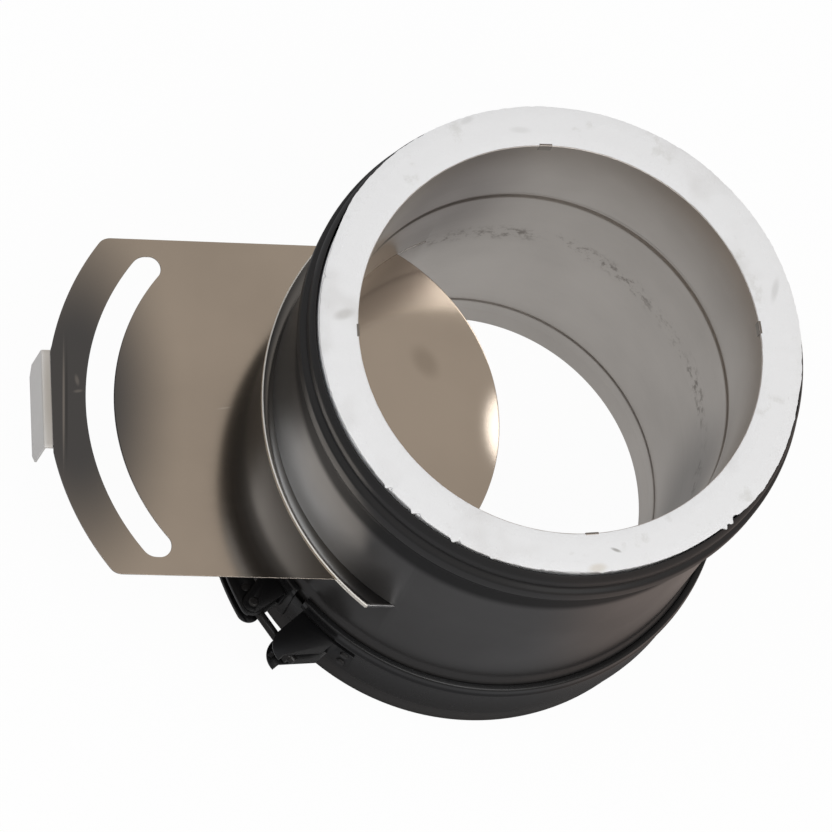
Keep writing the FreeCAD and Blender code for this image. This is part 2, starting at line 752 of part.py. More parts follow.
# A short rivet on each side joins lever and ear, so that the bolt can pass between them.
lever_pins = latch_body("lever_pins")
pin_section = new_sketch(lever_pins, "pin_section", "XZ_Plane", "-pivot_along", across="pivot_radial")
pin_start = "lever_inner_half - side_gap/3"
outline(pin_section, [
    ("0", pin_start + " - rivet_rise*2/3"),
    ("rivet_head", pin_start + " - rivet_rise*2/3"),
    ("rivet_head", pin_start),
    ("rivet_radius", pin_start),
    ("rivet_radius", ear_outer),
    ("rivet_head", ear_outer),
    ("rivet_head*2/3", ear_outer + " + rivet_rise"),
    ("0", ear_outer + " + rivet_rise"),
])
pin_turn = revolve(lever_pins, pin_section)
pin_mirror = lever_pins.newObject("PartDesign::Mirrored", "pin_mirror")
pin_mirror.Originals = [pin_turn]
pin_mirror.MirrorPlane = (origin_part(lever_pins, "XY_Plane"), [""])
lever_pins.Tip = pin_mirror
keep(lever_pins, "lever_rivets")

# The barrel turns in the lever on two journals and holds the tension bolt crosswise.
barrel = leaned_body("barrel")
barrel_section = new_sketch(barrel, "barrel_section", "XZ_Plane", "-" + barrel_along, across=bolt_radial)
barrel_half = "(lever_inner_half - side_gap)"
outline(barrel_section, [
    ("0", "-" + lever_half),
    ("journal_radius", "-" + lever_half),
    ("journal_radius", "-" + barrel_half),
    ("barrel_radius", "-" + barrel_half),
    ("barrel_radius", barrel_half),
    ("journal_radius", barrel_half),
    ("journal_radius", lever_half),
    ("0", lever_half),
])
revolve(barrel, barrel_section)
barrel_bore = new_sketch(barrel, "barrel_bore", "XZ_Plane", "-%s - 2*barrel_radius" % barrel_along)
circle(barrel_bore, bolt_radial, "0", "bolt_radius + strap_gap")
pocket(barrel, barrel_bore, "4*barrel_radius")
keep(barrel, "swivel_barrel")


def rod(name, label, start, length, rings, hexagon=None):
    """A piece along the bolt's line: circles, and a hexagon where its half width is given."""
    body = leaned_body(name)
    flat = new_sketch(body, name + "_outline", "XZ_Plane", "-(%s) - %s" % (start, length))
    if hexagon:
        corner = "%s/cos(30)" % hexagon
        outline(flat, [("%s + %s*cos(%d)" % (bolt_radial, corner, turn), "%s*sin(%d)" % (corner, turn))
                       for turn in range(0, 360, 60)])
    for radius in rings:
        circle(flat, bolt_radial, "0", radius)
    pad(body, flat, length)
    return keep(body, label)


bolt_bore = "bolt_radius + running_gap"
washer_start = "fork_face + fork_wall + washer_gap"
nut_start = washer_start + " + washer_wall"
bolt_length = "(bolt_end + bolt_tail + barrel_back - pivot_along)"
rod("bolt", "tension_bolt", barrel_along + " - bolt_tail", bolt_length, ["bolt_radius"])
rod("washer", "nut_washer", washer_start, "washer_wall", ["washer_radius", bolt_bore])
rod("nut", "lock_nut", nut_start, "nut_length", [bolt_bore], hexagon="nut_flat")

doc.recompute()
for item in doc.Objects:
    if {"Invalid", "Error"} & set(item.State):
        raise RuntimeError("%s is %s" % (item.Name, item.State))
for part in parts:
    if part.Shape.isNull() or not part.Shape.isValid() or not part.Shape.Solids:
        raise RuntimeError("%s has no valid solid" % part.Label)
os.makedirs("parts", exist_ok=True)
for part in parts:
    part.Shape.exportStep("parts/%s.step" % part.Label)
    print("%-24s %d solids %12.1f mm3" % (part.Label, len(part.Shape.Solids), part.Shape.Volume))
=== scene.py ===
import math

import bmesh
import bpy
import numpy as np
from mathutils import Matrix, Vector


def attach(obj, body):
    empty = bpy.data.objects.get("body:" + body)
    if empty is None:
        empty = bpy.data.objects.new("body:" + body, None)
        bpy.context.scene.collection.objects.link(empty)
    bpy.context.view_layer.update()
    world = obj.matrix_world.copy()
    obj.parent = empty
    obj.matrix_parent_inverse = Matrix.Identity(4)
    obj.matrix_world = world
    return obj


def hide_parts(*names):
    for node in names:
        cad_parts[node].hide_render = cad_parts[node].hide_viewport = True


# Chimney damper: a short insulated flue section with a sliding plate and a locking band.
# Sizes are in millimetres in the part's own frame: the flue's axis is Z, and the plate pulls out along -Y.
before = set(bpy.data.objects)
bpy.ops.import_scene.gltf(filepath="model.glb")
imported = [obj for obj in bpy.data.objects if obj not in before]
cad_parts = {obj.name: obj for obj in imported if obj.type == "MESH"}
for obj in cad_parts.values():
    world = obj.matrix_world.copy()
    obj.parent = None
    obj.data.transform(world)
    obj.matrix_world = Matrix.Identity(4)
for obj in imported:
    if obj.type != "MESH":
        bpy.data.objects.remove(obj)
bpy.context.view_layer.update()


# --- Studio -------------------------------------------------------------------------------------
# A plain pale floor under the part, a pale surround, and three wide soft lamps. The camera looks
# down at the part from the side of the latch, from far away through a long lens. Places are in metres.
class Flow:
    """One output of a node. Arithmetic on it adds Math nodes, and node() adds any other node."""

    def __init__(self, tree, socket=None):
        self.tree, self.socket = tree, socket

    def node(self, kind, sockets=None, output=0, **settings):
        """A node of that kind, with its settings made first and then its sockets' values or links."""
        made = self.tree.nodes.new("ShaderNode" + kind)
        for name, setting in settings.items():
            setattr(made, name, setting)
        for name, given in (sockets or {}).items():
            if isinstance(given, Flow):
                self.tree.links.new(given.socket, made.inputs[name])
            else:
                made.inputs[name].default_value = given
        return Flow(self.tree, made.outputs[output] if made.outputs else None)

    def math(self, operation, *terms):
        return self.node("Math", dict(enumerate(terms)), operation=operation)

    def __add__(self, other):
        return self.math("ADD", self, other)

    def __sub__(self, other):
        return self.math("SUBTRACT", self, other)

    def __rsub__(self, other):
        return self.math("SUBTRACT", other, self)

    def __mul__(self, other):
        return self.math("MULTIPLY", self, other)

    __radd__ = __add__
    __rmul__ = __mul__

    def largest(self, other):
        return self.math("MAXIMUM", self, other)

    def size(self):
        return self.math("ABSOLUTE", self)

    def rise(self, low, high):
        """0 below low and 1 above high, eased in between; falls instead where low is the higher."""
        ends = {"From Min": low, "From Max": high}
        return self.node("MapRange", {"Value": self, **ends}, interpolation_type="SMOOTHSTEP")

    def over(self, under, colour):
        """The colour laid over another one, as strongly as this value says."""
        return self.node("Mix", {0: self, 6: under, 7: colour}, output=2, data_type="RGBA")

    def near(self, centre, reach, turn=0.0):
        """For a place: 1 at the centre, falling to 0 at a reach along each axis, in millimetres. Turn
        is the reach's angle about Z in degrees."""
        settings = {"Location": [at / 1000 for at in centre], "Scale": [far / 1000 for far in reach],
                    "Rotation": (0, 0, math.radians(turn))}
        local = self.node("Mapping", {"Vector": self, **settings}, vector_type="TEXTURE")
        return self.node("VectorMath", {0: local}, output=1, operation="LENGTH").rise(1.0, 0.25)

    def marked(self, base, marks):
        """The base colour with marks laid over it, each (centre, reach, turn, strength, colour)."""
        for centre, reach, turn, strength, tint in marks:
            base = (self.near(centre, reach, turn) * strength).over(base, colour(*tint))
        return base


def new_finish(name):
    """A material with an empty tree, and the start of its nodes."""
    made = bpy.data.materials.new(name)
    made.use_nodes = True
    made.node_tree.nodes.clear()
    return made, Flow(made.node_tree)


def colour(red, green, blue):
    """A colour given as it looks on a screen, 0 to 255, in the renderer's own scale."""
    part = np.array([red, green, blue]) / 255
    return (*np.where(part < 0.04045, part / 12.92, ((part + 0.055) / 1.055) ** 2.4).tolist(), 1.0)


# The camera sees a white floor that keeps the part's shadow. Polished steel mirrors soft tints on it, in
# metres from the axis: greyer in front, a contact shade round the foot, and light inside the flue.
floor_finish, flow = new_finish("pale_floor")
seen = flow.node("LightPath", output="Is Camera Ray")
seen = seen.largest(flow.node("LightPath", output="Is Transmission Ray"))
matt = flow.node("BsdfDiffuse", {"Color": colour(236, 236, 236)})
white = flow.node("Emission", {"Color": (1, 1, 1, 1), "Strength": 1.0})
place = flow.node("TexCoord", output="Object")
far_side = flow.node("SeparateXYZ", {0: place}, output=1).rise(0.04, 0.13)
reach = flow.node("VectorMath", {0: place}, output=1, operation="LENGTH")
tint = far_side.over(colour(146, 146, 148), colour(178, 162, 154))
tint = reach.rise(0.187, 0.165).over(tint, colour(80, 78, 78))
tint = reach.rise(0.15, 0.12).over(tint, colour(184, 183, 182))
mirrored_floor = flow.node("Emission", {"Color": tint})
glossy_ray = flow.node("LightPath", output="Is Glossy Ray")
mirrored_share, white_share = 0.9, 0.96
lit = flow.node("MixShader", {0: glossy_ray * mirrored_share, 1: matt, 2: mirrored_floor})
floor_look = flow.node("MixShader", {0: seen * white_share, 1: lit, 2: white})
flow.node("OutputMaterial", {"Surface": floor_look})
floor_half = 6.0
floor_mesh = bpy.data.meshes.new("floor")
floor_mesh.from_pydata([(-floor_half, -floor_half, 0), (floor_half, -floor_half, 0),
                        (floor_half, floor_half, 0), (-floor_half, floor_half, 0)], [], [(0, 1, 2, 3)])
floor_mesh.materials.append(floor_finish)
floor = bpy.data.objects.new("floor", floor_mesh)
bpy.context.scene.collection.objects.link(floor)

world = bpy.data.worlds.new("surround")
bpy.context.scene.world = world
world.use_nodes = True
world.node_tree.nodes.clear()
flow = Flow(world.node_tree)
camera_ray = flow.node("LightPath", output="Is Camera Ray")
direction = flow.node("TexCoord", output="Generated")
upward = flow.node("SeparateXYZ", {0: direction}, output=2)
dome = upward.rise(1.0, 0.1).over(colour(190, 184, 178), colour(200, 198, 196))
# near() works in thousandths, so this is a direction of length one: a dark corner high up on the left.
dark_corner, dark_reach = (-383, -179, 906), (340, 340, 340)
dome = direction.near(dark_corner, dark_reach).over(dome, colour(74, 74, 76))
surround = flow.node("Background", {"Color": camera_ray.over(dome, (1, 1, 1, 1))})
flow.node("OutputWorld", {"Surface": surround})

for name, stand, aim, width, power, tint in (
    ("soft_top", (1.0, 0.34, 2.6), (0, 0, 0.15), 1.3, 26, (1, 1, 1)),
    ("soft_left", (-0.1, -1.05, 2.2), (0, -0.05, 0.15), 1.05, 9, (0.9, 0.98, 1.1)),
    ("soft_right", (2.4, 0.6, 1.0), (0, 0, 0.15), 1.4, 6, (1, 1, 1)),
):
    lamp = bpy.data.lights.new(name, "AREA")
    lamp.size, lamp.energy, lamp.color = width, power, tint
    lamp_object = bpy.data.objects.new(name, lamp)
    away = Vector(stand) - Vector(aim)
    lamp_object.matrix_world = Matrix.Translation(stand) @ away.to_track_quat("Z", "Y").to_matrix().to_4x4()
    bpy.context.scene.collection.objects.link(lamp_object)

view = bpy.data.cameras.new("view")
view.lens, view.sensor_width = 259.615, 36.0
view.clip_start, view.clip_end = 0.1, 50.0
camera = bpy.data.objects.new("view", view)
view_place = (1.29800, -0.89716, 3.52137)
view_right, view_up = Vector((0.05157, 0.97380, 0.22148)), Vector((-0.93582, -0.03031, 0.35118))
turn = Matrix((view_right, view_up, view_right.cross(view_up))).transposed().to_4x4()
camera.matrix_world = Matrix.Translation(view_place) @ turn
bpy.context.scene.collection.objects.link(camera)
bpy.context.scene.camera = camera
bpy.context.scene.view_settings.view_transform = "Standard"


# --- Outer casing -------------------------------------------------------------------------------
# A rolled steel tube finished in satin black. Its collar has two broad beads and a narrow one below
# them, its foot is widened to a socket with a rim, and a slot in front lets the cassette through.
def rounded(corners, radius, count=5):
    """An open profile with its corners eased: near each one it follows the curve that leaves a point on
    the way in, is pulled to the corner and ends at a point on the way out, each at most radius away."""
    corners = np.array(corners, float)
    before, at, after = corners[:-2], corners[1:-1], corners[2:]
    way_in, way_out = before - at, after - at
    far_in, far_out = (np.linalg.norm(way, axis=1, keepdims=True) for way in (way_in, way_out))
    reach = np.minimum(radius, 0.45 * np.minimum(far_in, far_out))
    start, end = at + way_in / far_in * reach, at + way_out / far_out * reach
    t = np.linspace(0, 1, count)[None, :, None]
    curves = (1 - t) ** 2 * start[:, None] + 2 * t * (1 - t) * at[:, None] + t ** 2 * end[:, None]
    return np.vstack([corners[:1], curves.reshape(-1, corners.shape[1]), corners[-1:]])


def turned(profile, angles):
    """A profile of (radius, height) turned about the flue's axis: each point goes to radius times the
    cosine and sine of the angle, at its own height."""
    radius, height = np.asarray(profile, float).T[:, :, None]
    return np.stack([radius * np.cos(angles), radius * np.sin(angles), height + 0 * angles], -1)


def surface(name, points, keep=None, closed=False, loop=False):
    """A mesh from a grid of points. Rows that run down or forwards, with columns to the right or
    counter-clockwise, face outwards. Keep masks the quads; closed joins the last column to the first and
    loop the last row to the first."""
    rows, columns = points.shape[:2]
    corner = np.arange(rows * columns).reshape(rows, columns)
    if closed:
        corner = np.hstack([corner, corner[:, :1]])
    if loop:
        corner = np.vstack([corner, corner[:1]])
    quads = np.stack([corner[:-1, :-1], corner[1:, :-1], corner[1:, 1:], corner[:-1, 1:]], -1).reshape(-1, 4)
    if keep is not None:
        quads = quads[keep.ravel()]
    used, quads = np.unique(quads, return_inverse=True)
    places = points.reshape(-1, 3)[used] / 1000
    mesh = bpy.data.meshes.new(name)
    mesh.vertices.add(len(places))
    mesh.vertices.foreach_set("co", places.astype(np.float32).ravel())
    mesh.loops.add(quads.size)
    mesh.loops.foreach_set("vertex_index", quads.astype(np.int32).ravel())
    mesh.polygons.add(quads.size // 4)
    mesh.polygons.foreach_set("loop_start", np.arange(0, quads.size, 4, dtype=np.int32))
    mesh.update(calc_edges=True)
    mesh.validate()
    made = bpy.data.objects.new(name, mesh)
    bpy.context.scene.collection.objects.link(made)
    return made


def slotted_tube(name, upper, lower, slot_half, radius, steps):
    """Two profiles turned into one tube that is open in front between the upper one's end and the lower
    one's start. The opening reaches both ways from the front by the angle whose sine is slot_half over
    radius. Steps counts the columns across the opening and round the rest."""
    front, half_turn = -math.pi / 2, math.asin(slot_half / radius)
    start, end = front - half_turn, front + half_turn
    angles = np.concatenate([np.linspace(start, end, steps[0]),
                             np.linspace(end, start + 2 * math.pi, steps[1])[1:-1]])
    profile = np.vstack([upper, lower])
    keep = np.ones((len(profile) - 1, len(angles)), bool)
    keep[len(upper) - 1, :steps[0] - 1] = False
    return surface(name, turned(profile, angles), keep, closed=True)


def finished(made, finish, wall=0.0, edge=0.0, steps=2, sharp=32):
    """Gives a surface its wall, its eased edges and its finish, and keeps the edges between faces that
    meet at more than the sharp angle crisp."""
    if wall:
        solid = made.modifiers.new("wall", "SOLIDIFY")
        solid.thickness, solid.offset, solid.use_even_offset = wall / 1000, -1, True
    if edge:
        bevel = made.modifiers.new("edge", "BEVEL")
        bevel.width, bevel.segments = edge / 1000, steps
        bevel.limit_method, bevel.angle_limit = "ANGLE", math.radians(35)
    if wall or edge:
        shape = made.evaluated_get(bpy.context.evaluated_depsgraph_get())
        made.data = bpy.data.meshes.new_from_object(shape)
        made.modifiers.clear()
    made.data.shade_smooth()
    made.data.set_sharp_from_angle(angle=math.radians(sharp))
    made.data.materials.clear()
    made.data.materials.append(finish)
    return made


def belongs(made, body, slot, *nodes):
    """The piece rides on its body and stands for its solids. The slot is not used."""
    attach(made, body)
    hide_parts(*nodes)


def enamel(name, body_colour, roughness, speckle=0.012, rub=0.25, sheen=0.5, shade_heights=None):
    """Black enamel on steel: a fine orange-peel bump, cloudy gloss, pale dust and rubbed patches. The last
    argument gives two heights for a painted shade: between them the gloss fades out upwards under a darker,
    matt coat, and only half of the gloss comes back above."""
    made, flow = new_finish(name)
    place = flow.node("TexCoord", output="Object")
    cloud = flow.node("TexNoise", {"Vector": place, "Scale": 14.0, "Detail": 4.0})
    peel = flow.node("TexNoise", {"Vector": place, "Scale": 900.0, "Detail": 2.0})
    dust = flow.node("TexNoise", {"Vector": place, "Scale": 260.0, "Detail": 6.0, "Roughness": 0.75})
    worn = (dust.rise(0.62, 0.80) * cloud.rise(0.45, 0.7)) * rub
    fine = flow.node("Bump", {"Height": peel, "Strength": 0.25, "Distance": speckle / 1000})
    skin = flow.node("BsdfPrincipled", {
        "Base Color": worn.over(body_colour, colour(110, 106, 101)),
        "Roughness": roughness + (cloud - 0.5) * 0.22 + worn * 0.3,
        "Specular IOR Level": sheen,
        "Normal": fine,
    })
    if shade_heights:
        level = flow.node("SeparateXYZ", {0: place}, output=2) * 1000
        share = level.rise(*shade_heights) * (1.0 - level.rise(shade_heights[1] + 16, shade_heights[1] + 26) * 0.45)
        # Painted shade: a darker, matt coat that stands in for the shade in the cove under the collar.
        collar_shade_coat = {"Base Color": colour(27, 27, 28), "Roughness": 0.6, "Specular IOR Level": 0.1, "Normal": fine}
        skin = flow.node("MixShader", {0: share * 0.9, 1: skin, 2: flow.node("BsdfPrincipled", collar_shade_coat)})
    flow.node("OutputMaterial", {"Surface": skin})
    return made


# The casing's enamel carries a painted shade, dark and matt, in the cove under the collar from 203 mm up.
casing_finish = enamel("casing_enamel", colour(38, 37, 37), 0.32, shade_heights=(203, 214))
casing_radius, casing_wall, casing_slot_half = 150.0, 0.8, 127.1
collar = [(151.2, 272), (153.6, 266), (153.6, 259), (153.0, 256), (156.3, 253), (156.3, 242), (150.8, 236),
          (151.6, 230.5), (150, 225), (150, 140.6)]
socket = [(150, 136.4), (150, 77), (152.8, 71), (152.8, 23.5), (153.8, 22), (153.8, 0)]
casing = slotted_tube("casing", rounded(collar, 2.0), rounded(socket, 2.4), casing_slot_half,
                      casing_radius, (100, 190))
finished(casing, casing_finish, wall=casing_wall, edge=0.2)
belongs(casing, "pipe", "casing_black", "outer_shell")


# --- Liner --------------------------------------------------------------------------------------
# A stainless tube with a satin mill finish, one rolled bead high up and a stepped, tapered spigot at
# its foot. The plate's travel has left a scuffed ring at its level.
def brushed(name, metal, roughness, grain, metallic=1.0, stain=None, marks=(), arc=None, leans=()):
    """Stainless sheet: fine grain along the roll, cloudy gloss and faint specks. Grain gives the noise's
    scale along each axis; stain lays a scuffed ring over the metal by (height, spread, tint). Arc is the
    middle's Y and the radius of a pale band along the cut edge: partly the bare sheared metal, partly a
    painted highlight of the edge catching the light. Leans are places that aren't quite flat, each (centre,
    reach, how far its normal leans along each axis, how much rougher it is)."""
    made, flow = new_finish(name)
    place = flow.node("TexCoord", output="Object")
    along = flow.node("Mapping", {"Vector": place, "Scale": grain})
    lines = flow.node("TexNoise", {"Vector": along, "Scale": 1.0, "Detail": 3.0})
    cloud = flow.node("TexNoise", {"Vector": place, "Scale": 9.0, "Detail": 5.0})
    specks = flow.node("TexNoise", {"Vector": place, "Scale": 150.0, "Detail": 8.0, "Roughness": 0.75})
    base = cloud.rise(0.25, 0.75).over(metal, tuple(0.86 * part for part in metal[:3]) + (1.0,))
    rough = ((cloud - 0.5) * 0.5 + (lines - 0.5) * 0.3 + 1.0) * roughness
    if stain:
        height, spread, tint = stain
        level = flow.node("SeparateXYZ", {0: place}, output=2) * 1000 + (cloud - 0.5) * 26
        patch = flow.node("TexNoise", {"Vector": place, "Scale": 22.0, "Detail": 2.0}).rise(0.26, 0.5)
        ring = (level - height).size().rise(spread, spread * 0.1) * specks.rise(0.49, 0.62) * patch
        base = (ring * 0.55).over(base, tint)
        rough = rough + ring * 0.2
    # Marks laid over the metal: some are real marks, others painted shade or a painted highlight.
    base = place.marked(base, marks)
    slope = {}
    if arc:
        middle, radius = arc
        flat = {"Scale": (1, 1, 0), "Location": (0, -middle / 1000, 0)}
        out = flow.node("Mapping", {"Vector": place, **flat})
        past = flow.node("VectorMath", {0: out}, output=1, operation="LENGTH") * 1000 - radius
        # A pale band along the cut edge: partly the bare sheared metal, partly a painted highlight of the
        # edge.
        cut = past.rise(-1.0, -0.6)
        base = cut.over(base, colour(226, 222, 214))
        rough = rough + cut * 0.35
        metallic = metallic - cut * 0.6
    if leans:
        normal = flow.node("NewGeometry", output="Normal")
        for centre, far, way, rougher in leans:
            dent = place.near(centre, far)
            rough = rough + dent * rougher
            normal = flow.node("VectorMath", {0: dent, 1: way, 2: normal}, operation="MULTIPLY_ADD")
        slope = {"Normal": flow.node("VectorMath", {0: normal}, operation="NORMALIZE")}
    relief = {"Height": lines + specks * 0.4, "Strength": 0.12, "Distance": 2e-5, **slope}
    flow.node("OutputMaterial", {"Surface": flow.node("BsdfPrincipled", {
        "Base Color": base,
        "Metallic": metallic,
        "Roughness": rough,
        "Normal": flow.node("Bump", relief),
    })})
    return made


liner_finish = brushed("liner_stainless", colour(212, 207, 202), 0.36, (6.0, 6.0, 900.0),
                       stain=(138.0, 15.0, colour(128, 120, 114)),
                       marks=[((-112, -50, 200), (60, 70, 110), 0, 0.6, (120, 112, 111)),
                              ((40, 118, 110), (60, 50, 120), 0, 0.65, (120, 117, 116))])
liner_upper = [(126, 274.3), (126, 201), (127.4, 198.6), (127.4, 195.4), (126, 193), (126, 139.5)]
liner_lower = [(126, 137.5), (126, 24.6), (124.4, 23), (124.4, 13), (121.2, 0)]
liner_outer, mouth_half = 126.0, 117.0
liner = slotted_tube("liner", rounded(liner_upper, 1.4), rounded(liner_lower, 1.2), mouth_half,
                     liner_outer, (120, 170))
finished(liner, liner_finish, wall=1.0, edge=0.2)
belongs(liner, "pipe", "liner_steel", "inner_liner")


# --- Insulation ---------------------------------------------------------------------------------
# Two rings of pressed white ceramic fibre between liner and casing. The upper one stands a little
# above the casing, where its cut edge is torn and frays out over the steel lip.
def fray(angles, seed, waves, reach):
    """A ragged amount round the ring: a sum of waves of rising count and falling height, each with its
    own random phase and size, raised to a power so that it is mostly small with a few long tears."""
    chance = np.random.default_rng(seed)
    count = np.arange(3, 3 + waves)
    size, phase = chance.normal(size=waves) / np.sqrt(count), chance.uniform(0, 2 * math.pi, waves)
    total = (size[:, None] * np.sin(count[:, None] * angles + phase[:, None])).sum(0)
    return reach * np.clip(0.5 + 0.22 * total, 0, 1) ** 1.5


fibre_finish, flow = new_finish("pressed_fibre")
place = flow.node("TexCoord", output="Object")
clump = flow.node("TexNoise", {"Vector": place, "Scale": 38.0, "Detail": 6.0, "Roughness": 0.65})
strand = flow.node("TexNoise", {"Vector": place, "Scale": 420.0, "Detail": 4.0, "Distortion": 1.5})
smudge = flow.node("TexNoise", {"Vector": place, "Scale": 16.0, "Detail": 3.0})
base = smudge.rise(0.54, 0.72).over(colour(226, 227, 228), colour(213, 213, 213))
base = (clump.rise(0.60, 0.72) * 0.5).over(base, colour(200, 200, 197))
fibre_marks = [
    ((135, 24.9, 275), (4.5, 1.4, 9), 70, 0.65, (120, 118, 112)),
    ((-10, -133.7, 275), (4.5, 9, 9), 20, 0.45, (168, 166, 162)),
    ((146.6, 13.1, 275), (4, 8, 9), 10, 0.55, (200, 192, 178)),
    ((-35.7, 136.2, 275), (11, 3, 9), -15, 0.35, (176, 176, 174)),
    ((-139.8, -50.8, 275), (3, 7, 9), 30, 0.3, (180, 180, 178)),
    ((-134.7, -17.9, 275), (3, 9, 9), 0, 0.25, (184, 184, 182)),
]
flow.node("OutputMaterial", {"Surface": flow.node("BsdfPrincipled", {
    "Base Color": place.marked(base, fibre_marks),
    "Roughness": 0.95,
    "Specular IOR Level": 0.1,
    "Normal": flow.node("Bump", {"Height": clump + strand * 0.5, "Strength": 0.5, "Distance": 8e-4}),
})})

angles = np.linspace(0, 2 * math.pi, 1200, endpoint=False)
nick = fray(angles, 9, 90, 2.2)
rim_turns = [-180, -125, -112, -60, -25, 0, 42, 52, 75, 120, 140, 180]
rim_reach = [2.0, 1.8, -0.8, -0.2, 1.0, -0.2, 1.2, 2.4, 0.6, 2.4, 2.6, 2.0]
overhang = np.interp((np.degrees(angles) + 180) % 360 - 180, rim_turns, rim_reach)
torn = overhang + 0.15 * fray(angles, 4, 220, 3.0)
# Single tears and tufts of the outer edge: the angle and the width in degrees, and the reach in millimetres.
tears = [
    (-103.4, 0.5, -1.2), (-48.9, 0.4, 1.7), (-47.8, 0.4, -1.8), (-40.6, 0.5, 1.8), (-39.2, 0.6, -1.4),
    (-29.5, 0.6, 1.8), (-28.2, 0.4, -1.6), (-20, 0.4, 0.8), (-8, 0.5, -0.7), (6, 0.6, 0.7),
    (38.4, 0.5, 2.2), (40.4, 0.6, 2.0), (42, 0.7, -2.0),
]
for turn, width, size in tears:
    torn = torn + size * np.exp(-((angles - math.radians(turn % 360)) / math.radians(width)) ** 2)
inner, outer, top, joint = 126.6, 149.1, 275.0, 138.5
recess_back, recess_half = -37.9, 111.6
in_recess = (outer * np.sin(angles) < recess_back) & (abs(inner * np.cos(angles)) < recess_half)
seat = np.where(in_recess, 140.7, joint)
flat = 0 * angles
# The corners of the upper ring's section, as (radius, height): up the inside, where a groove clears the
# liner's bead, over the torn top and down the outside.
upper_section = [
    (inner + flat, seat),
    (inner + flat, 190 + flat),
    (inner + 2 + flat, 193 + flat),
    (inner + 2 + flat, 201 + flat),
    (inner + flat, 204 + flat),
    (inner + flat, top - 0.6 + flat),
    (inner - 1.1 + 0.1 * nick, top - 0.6 + flat),
    (inner - 1.2 + 0.1 * nick, top - 0.3 + flat),
    (inner - 0.4 + 0.1 * nick, top - 0.05 * nick),
    (inner + 8 + flat, top - 0.05 * nick),
    (inner + 16 + flat, top - 0.1 * nick),
    (outer - 2 + 0.5 * torn, top - 0.1 - 0.1 * nick),
    (outer + torn, top - 0.6 - 0.2 * nick),
    (outer + torn, top - 1.6 - 0.2 * nick),
    (outer + 0.6 * torn, top - 2.6 + flat),
    (outer + flat, top - 2.7 + flat),
    (outer + flat, top - 5 + flat),
    (outer + flat, seat),
]
seat = np.where(in_recess, 136.3, joint)
foot = 23.0 + 0.3 * nick
lower_section = [
    (inner + flat, foot),
    (inner + flat, seat),
    (outer + flat, seat),
    (outer + flat, foot + 1),
    (outer - 1 + flat, foot),
    (138 + flat, foot - 0.1 * nick),
]
for name, node, section in (("fibre_above", "upper_insulation", upper_section),
                            ("fibre_below", "lower_insulation", lower_section)):
    ring_points = np.array([np.stack([r * np.cos(angles), r * np.sin(angles), z], -1) for r, z in section])
    ring = surface(name, ring_points, closed=True, loop=True)
    finished(ring, fibre_finish, sharp=60)
    belongs(ring, "pipe", "white_fibre", node)


# --- Cassette -----------------------------------------------------------------------------------
# Two guide sheets with an arched front edge reach out of the casing's slot, held apart by a strip at
# each side. They are bare stainless, sheared and left bright at the edge; the pale band there is partly
# that bare metal and partly a painted highlight of the edge catching the light.
guide_half, arch_middle, arch_radius = 127.0, 9.3, 166.0
# Two dark patches on the guide sheets, on the left and at the right tip, are painted shade: a darker
# reflection painted onto the polished steel.
cassette_finish = brushed("cassette_stainless", colour(196, 190, 182), 0.12, (900.0, 12.0, 12.0),
                          marks=[((-90, -120, 139), (150, 120, 30), 0, 1.0, (120, 119, 118)),
                                 ((122, -86, 139), (44, 50, 30), 0, 1.0, (104, 103, 103))],
                          arc=(arch_middle, arch_radius))


def guide_back(x):
    """The sheet ends 0.1 clear of the liner, and beside it on a straight line 38 in front of the axis."""
    return -np.sqrt(np.maximum((liner_outer + 0.1) ** 2 - x ** 2, 38.0 ** 2))


def guide_front(x):
    """The arched front edge: an arc whose top is 156.7 in front of the axis."""
    return arch_middle - np.sqrt(arch_radius ** 2 - x ** 2)


def flat_between(x, back, front_edge, rows, height):
    """A flat grid whose rows go evenly from the back edge's line to the front edge's."""
    t = np.linspace(0, 1, rows)[:, None]
    return np.stack([x + 0 * t, back + (front_edge - back) * t, height + 0 * x + 0 * t], -1)


upper_head, spacer_head, lower_head = 140.5, 139.5, 137.5
across = np.linspace(-guide_half, guide_half, 128)
for name, node, head in (("guide_above", "cassette_upper_sheet", upper_head),
                         ("guide_below", "cassette_lower_sheet", lower_head)):
    guide = surface(name, flat_between(across, guide_back(across), guide_front(across), 6, head))
    finished(guide, cassette_finish, wall=1.0, edge=0.15)
    belongs(guide, "pipe", "cassette_steel", node)
for name, ends in (("left", (-guide_half, -mouth_half)), ("right", (mouth_half, guide_half))):
    across = np.linspace(*ends, 12)
    spacer = surface("spacer_" + name,
                     flat_between(across, guide_back(across), guide_front(across), 6, spacer_head))
    finished(spacer, cassette_finish, wall=spacer_head - lower_head, edge=0.1)
    belongs(spacer, "pipe", "cassette_steel", "cassette_%s_spacer" % name)


# --- Damper plate -------------------------------------------------------------------------------
# A polished stainless sheet one millimetre thick. Its inner end is round like the flue, its outer end
# is arched and cut straight along the handle, and a curved slot along that end is punched through it.
def pulled(start, corner_point, end, count=8, pull=1.0):
    """The eased corner between two edges: it leaves start, is pulled to the corner and reaches end. A pull
    of the sine of half the corner's angle makes it an arc."""
    t = np.linspace(0, 1, count)[:, None]
    start, corner_point, end = (np.array(point, float) for point in (start, corner_point, end))
    near_start, near_corner, near_end = (1 - t) ** 2, 2 * pull * t * (1 - t), t ** 2
    blend = near_start * start + near_corner * corner_point + near_end * end
    return blend / (near_start + near_corner + near_end)


def arc_at(x, middle, radius, side=-1):
    """Points at x on the arc of that radius round (0, middle), on its front side or its back side."""
    x = np.asarray(x, float)
    return np.stack([x, middle + side * np.sqrt(radius ** 2 - x ** 2)], -1)


def mirrored(points):
    """The same points with left and right swapped, in reverse order so that the outline runs on."""
    return (points * [-1, 1])[::-1]


